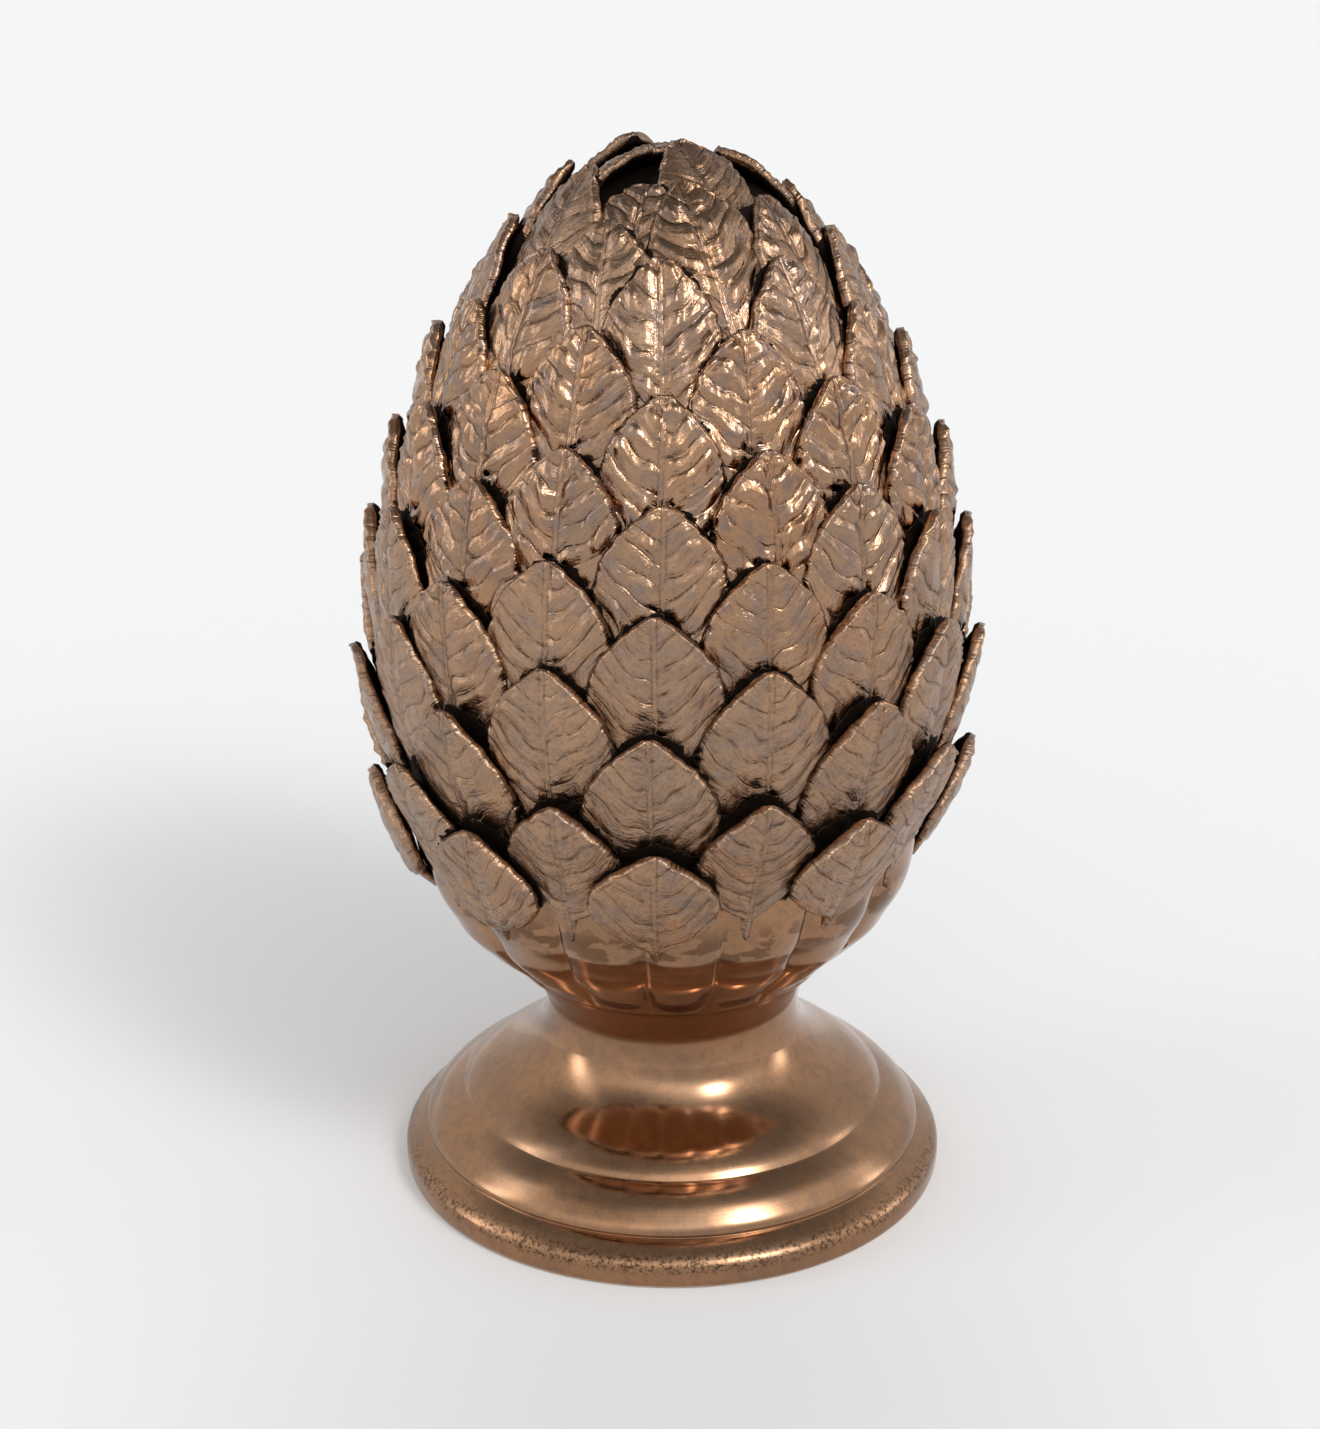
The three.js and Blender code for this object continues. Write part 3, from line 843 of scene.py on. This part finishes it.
def gapField(lower, angle, distance, azimuth, reach):
    # how many mm a point lies inside the painted shade band round the lower leaves' outlines, negative
    # outside it;
    # the band is narrow along a leaf's sides and widest at its tip
    limit = leafSet["gapLimit"]
    tipHalf = leafSet["tipHalf"]
    field = np.full_like(distance, -limit)
    for other in lower:
        turn = (other["angle"] - angle + math.pi) % (2 * math.pi) - math.pi
        if abs(turn) > leafSet["gapTurn"]:
            continue
        x, s = inLeaf(other, distance, azimuth, reach)
        v, share = outlines[other["outline"]]
        length = other["length"]
        half = 0.5 * other["width"] * np.interp(s / length, v, share)
        slope = 0.5 * other["width"] * np.interp(s / length, v, np.gradient(share, v)) / length
        off = (np.abs(x) - half) / np.hypot(1.0, slope)
        past = s - length + tipHalf
        off = np.where(past > 0.0, np.hypot(np.maximum(np.abs(x) - tipHalf, 0.0), past), off)
        off = np.where(s < 0.0, 2.0 * limit, off)
        widening = smoothStep(s / length, *leafSet["gapWidens"])
        near = leafSet["gapNear"] + (leafSet["gapTip"] - leafSet["gapNear"]) * widening
        field = np.maximum(field, np.clip(near - off, -limit, limit))
    return field


def lowerLeaves(leaf, leaves):
    # the leaves that can lie over this one, those with tips a little lower down
    least, most = leafSet["below"]
    return [other for other in leaves if leaf["tip"] - most < other["tip"] < leaf["tip"] - least]


def leafGrid(rows, columns, behind):
    # shares of the length up the leaf, closer together near the tip; shares of the half width across
    # the front and back again behind it, closer together at the edges; and 1 where a point is in front
    steps = np.linspace(0.0, 1.0, rows)
    v = (0.7 * steps + 0.3 * np.sin(steps * math.pi / 2))[:, None]
    v = 0.004 + 0.994 * v
    a = np.linspace(-1.0, 1.0, columns)
    across = 0.55 * a + 0.45 * np.sin(a * math.pi / 2)
    b = np.linspace(1.0, -1.0, behind + 2)[1:-1]
    c = np.concatenate([across, 0.5 * b + 0.5 * np.sin(b * math.pi / 2)])[None, :]
    return v, c, np.concatenate([np.ones(columns), np.zeros(behind)])[None, :]


def leafHalf(v, c, s, leaf):
    # half width at each point: the outline's share, notched by two sizes of noise away from the base
    seed = leaf["seed"]
    hand = np.sign(c)
    share = np.interp(v, *outlines[leaf["outline"]])
    half = 0.5 * leaf["width"] * share * (1.0 + 0.02 * hand * spread(seed, 8))
    long, short = leafSet["notchSizes"]
    notch = dapple(s / long, hand * 9.0 + 0.5, seed) + 0.5 * dapple(s / short, hand * 5.0, seed + 4.0)
    notch = leafSet["crenation"] * leaf.get("ragged", 1.0) * notch * smoothStep(v, 0.25, 0.5)
    return np.maximum(half + notch * smoothStep(half, 0.5, 6.0), 0.6)


def leafDepth(v, c, s, x, distance, leaf):
    # how far the leaf's middle layer lies in from the section over the tips: deep at the base, flush at
    # the tip, less for lift and belly, more at the edges by the bow, with curled edges and a roll
    free = smoothStep(onSide(distance, "z"), *bodySet["leafStart"])
    fall = (1.0 - v) ** bodySet["leafCurl"]
    low = 1.0 - smoothStep(leaf["tip"], *bodySet["bellyFade"])
    belly = bodySet["lowBelly"] * low * np.sin(math.pi * v)
    proud = bodySet["cupRise"] * (1.0 - free) * v + leaf["lift"] * v ** 2 + belly
    depth = (bodySet["coreGap"] + bodySet["baseSink"]) * fall * free - proud
    depth = depth + bodySet["leafBow"] * np.abs(c) ** 2 * np.interp(v, *outlines[leaf["outline"]])
    curl = dapple(s / 9.0, np.sign(c) * 3.0, leaf["seed"] + 6.0)
    return depth + np.abs(c) ** 4 * curl * smoothStep(v, 0.35, 0.65) - leaf.get("roll", 0.0) * x


def addLeaf(parts, leaf, leaves):
    # a closed loop of points round each cross-section, front then back, with round edges; the middle
    # line follows the body's section and stands off it towards the tip
    inFront = math.cos(leaf["angle"]) > leafSet["frontTurn"]
    v, c, isFront = leafGrid(*leafSet["frontGrid" if inFront else "backGrid"])
    length = leaf["length"]
    seed = leaf["seed"]
    s = v * length
    half = leafHalf(v, c, s, leaf)
    x = c * half
    thick = leafSet["thickness"] * (1.0 + leafSet["thickSpread"] * spread(seed, 3))
    edge = np.minimum(thick * 0.5, half)
    past = np.clip((np.abs(x) - (half - edge)) / edge, 0.0, 1.0)
    roundness = np.sqrt(np.clip(1.0 - past ** 2, 0.0, 1.0))
    roundTip = leafSet["roundTip"]
    nearTip = np.clip((s - (length - roundTip)) / roundTip, 0.0, 1.0)
    body = 0.5 * thick * roundness * np.sqrt(np.clip(1.0 - nearTip ** 2, 0.02, 1.0))
    lean = leaf["lean"]
    run = s - length
    distance = leaf["tipDistance"] + run * math.cos(lean) + x * math.sin(lean)
    sideways = x * math.cos(lean) - run * math.sin(lean)
    depth = leafDepth(v, c, s, x, distance, leaf)
    height, groove, u = leafHeight(x, s + 0.0 * x, half, leaf)
    middle = depth + 0.5 * thick
    fade = smoothStep(roundness, 0.0, 0.7)
    depth = np.where(isFront > 0.5, middle - body - height * fade, middle + body)
    grid = placed(distance, leaf["angle"], sideways, depth)
    reach = np.hypot(grid[..., 0] - bodyOffset(grid[..., 2]), grid[..., 1])
    azimuth = np.arctan2(grid[..., 0] - bodyOffset(grid[..., 2]), -grid[..., 1])
    # painted shade: the band round the lower leaves that lie over this one, and black over the leaf's back
    gapShade = gapField(lowerLeaves(leaf, leaves), leaf["angle"], distance, azimuth, reach)
    reachShare, rate, most = leafSet["backShade"]
    behind = np.minimum((reachShare - np.abs(c)) * rate, most)
    gapShade = np.where(isFront > 0.5, gapShade, np.maximum(gapShade, behind))
    one = np.ones_like(x)
    fields = {
        "veinField": np.stack([x, s + 0.0 * x, u], -1),
        "groove": np.where(isFront > 0.5, groove, 0.0)[..., None],
        "gapShade": gapShade[..., None],
        "tone": (one * (0.5 + 0.5 * spread(seed, 5)))[..., None],
        "quilt": (one * leaf["quilt"])[..., None],
    }
    parts.addTube(grid, fields, [grid[0].mean(0), grid[-1].mean(0)])


def listLeaves():
    # every leaf with its own place: angle = turn less the crowding at the front plus the drift at the
    # sides, and tip = the ring's height plus its rise to the right, each with a little unevenness
    leaves = []
    for i, ring in enumerate(leafRings):
        for k in range(ring["count"]):
            turn = 360.0 / ring["count"] * (k + 0.5 * ring["half"])
            angle = turn - ring["squeeze"] * math.sin(math.radians(2 * turn)) + ring["turn"]
            angle = angle + ring["drift"] * math.sin(math.radians(turn)) ** 2
            tip = ring["tip"] + ring["rise"] * math.sin(math.radians(angle))
            tip = tip + leafSet["tipSpread"] * spread(i, k)
            lean = leafSet["leanSpread"] * spread(i, k, 4)
            outline = "stem" if i < leafSet["stemRings"] else "plain"
            leaves.append({**ring, "angle": angle, "tip": tip, "lean": lean, "outline": outline, "ring": i})
    for leaf in crownLeaves + innerLeaves + [crownTongue]:
        leaves.append({**leaf, "outline": "plain", "ring": len(leafRings)})
    for k, leaf in enumerate(leaves):
        leaf["seed"] = 0.37 * k + 0.11
        leaf["angle"] = math.radians(leaf["angle"])
        leaf["lean"] = math.radians(leaf["lean"])
        leaf["tipDistance"] = float(np.interp(leaf["tip"], side["z"], side["s"]))
    return leaves


leaves = listLeaves()
makeFoot(footSet, leaves)
print("foot, neck and cup made")


def makeLeaves(leaves):
    # six meshes, each from two neighbouring rings, with the crown's leaves as the last
    groups = {"leaves_low": (0, 1), "leaves_waist": (2, 3), "leaves_middle": (4, 5), "leaves_upper": (6, 7),
              "leaves_shoulder": (8, 9), "leaves_crown": (10, 11)}
    for name, (first, last) in groups.items():
        parts = MeshParts()
        for leaf in leaves:
            if first <= leaf["ring"] <= last:
                addLeaf(parts, leaf, leaves)
        piece = addPiece(name, parts.mesh(name), leafMaterial)
        print(name, "made with", len(piece.data.loops) - 2 * len(piece.data.polygons), "triangles")


makeLeaves(leaves)


# Floor and light

studioSet = {
    "wall": 0.80,
    "ceiling": 0.30,
    "ceilingRise": (0.56, 0.86),  # upward parts of the direction over which the one becomes the other
    "glows": [
        # azimuth from the front to the right and elevation of the middle, half widths across and up, all in
        # degrees, and brightness
        (40.0, 43.0, 7.5, 7.5, 19.0),
        (24.0, 45.0, 34.0, 16.0, 1.6),
        (-85.0, 16.0, 7.0, 22.0, 3.6),
        (-75.0, 30.0, 26.0, 20.0, 0.3),
        (100.0, 10.0, 7.0, 15.0, 3.0),
    ],
    "floorSides": 9.0,
    "floorEnds": (-6.0, 12.0),
    # painted soft shadow: the floor's colour at its middle, and far from it
    "floorNear": (0.72, 0.728, 0.737),
    "floorFar": (0.878, 0.881, 0.886),
    "shadowMiddle": (0.0, -0.24, 0.0),
    "shadowReach": 0.33,
}


def makeStudio(values):
    # world brightness = wall level, falling to the ceiling's level overhead, plus soft glows: brightness *
    # exp(-(across / half width)^2 - (up / half height)^2) round each middle direction
    world = bpy.data.worlds.new("studio")
    world.use_nodes = True
    tree = world.node_tree
    tree.nodes.clear()
    start = Wire(tree)
    way = start.node("TexCoord", output="Generated")
    up = start.node("SeparateXYZ", None, {0: way}, output="Z")
    level = up.between(*values["ceilingRise"]) * (values["ceiling"] - values["wall"]) + values["wall"]
    for azimuth, elevation, halfAcross, halfUp, brightness in values["glows"]:
        a = math.radians(azimuth)
        e = math.radians(elevation)
        middle = (math.sin(a) * math.cos(e), -math.cos(a) * math.cos(e), math.sin(e))
        right = (math.cos(a), math.sin(a), 0.0)
        over = (-math.sin(a) * math.sin(e), math.cos(a) * math.sin(e), math.cos(e))
        dots = []
        for axis in (middle, right, over):
            dot = start.node("VectorMath", {"operation": "DOT_PRODUCT"}, {0: way, 1: axis}, output="Value")
            dots.append(dot)
        wide = dots[1] / math.radians(halfAcross)
        tall = dots[2] / math.radians(halfUp)
        fall = start.math("EXPONENT", (wide * wide + tall * tall) * -1.0)
        level = level + fall * brightness * dots[0].between(0.0, 0.3)
    sky = tree.nodes.new("ShaderNodeBackground")
    sky.inputs["Color"].default_value = (1.0, 1.0, 1.0, 1.0)
    start.feed(sky.inputs["Strength"], level)
    out = tree.nodes.new("ShaderNodeOutputWorld")
    tree.links.new(sky.outputs[0], out.inputs[0])
    bpy.context.scene.world = world


def makeFloor(values):
    # a wide flat sheet, with a painted soft shadow that darkens it round the foot
    data = bpy.data.meshes.new("floor")
    wide = values["floorSides"]
    near, far = values["floorEnds"]
    corners = [(-wide, near, 0.0), (wide, near, 0.0), (wide, far, 0.0), (-wide, far, 0.0)]
    data.from_pydata(corners, [], [(0, 1, 2, 3)])
    floor = bpy.data.objects.new("floor", data)
    bpy.context.scene.collection.objects.link(floor)
    material, start = newGlaze("paleFloor")
    place = start.node("TexCoord", output="Object")
    # painted shadow, darkest at a point in front of the foot
    ends = {0: place, 1: values["shadowMiddle"]}
    away = start.node("VectorMath", {"operation": "DISTANCE"}, ends, output="Value")
    share = away.between(0.0, values["shadowReach"])
    tint = share.mix(colour(*values["floorNear"]), colour(*values["floorFar"]))
    finishGlaze(start, {"Base Color": tint, "Roughness": 0.85})
    data.materials.append(material)


makeStudio(studioSet)
makeFloor(studioSet)
bpy.context.scene.view_settings.view_transform = "Standard"
print("studio made")
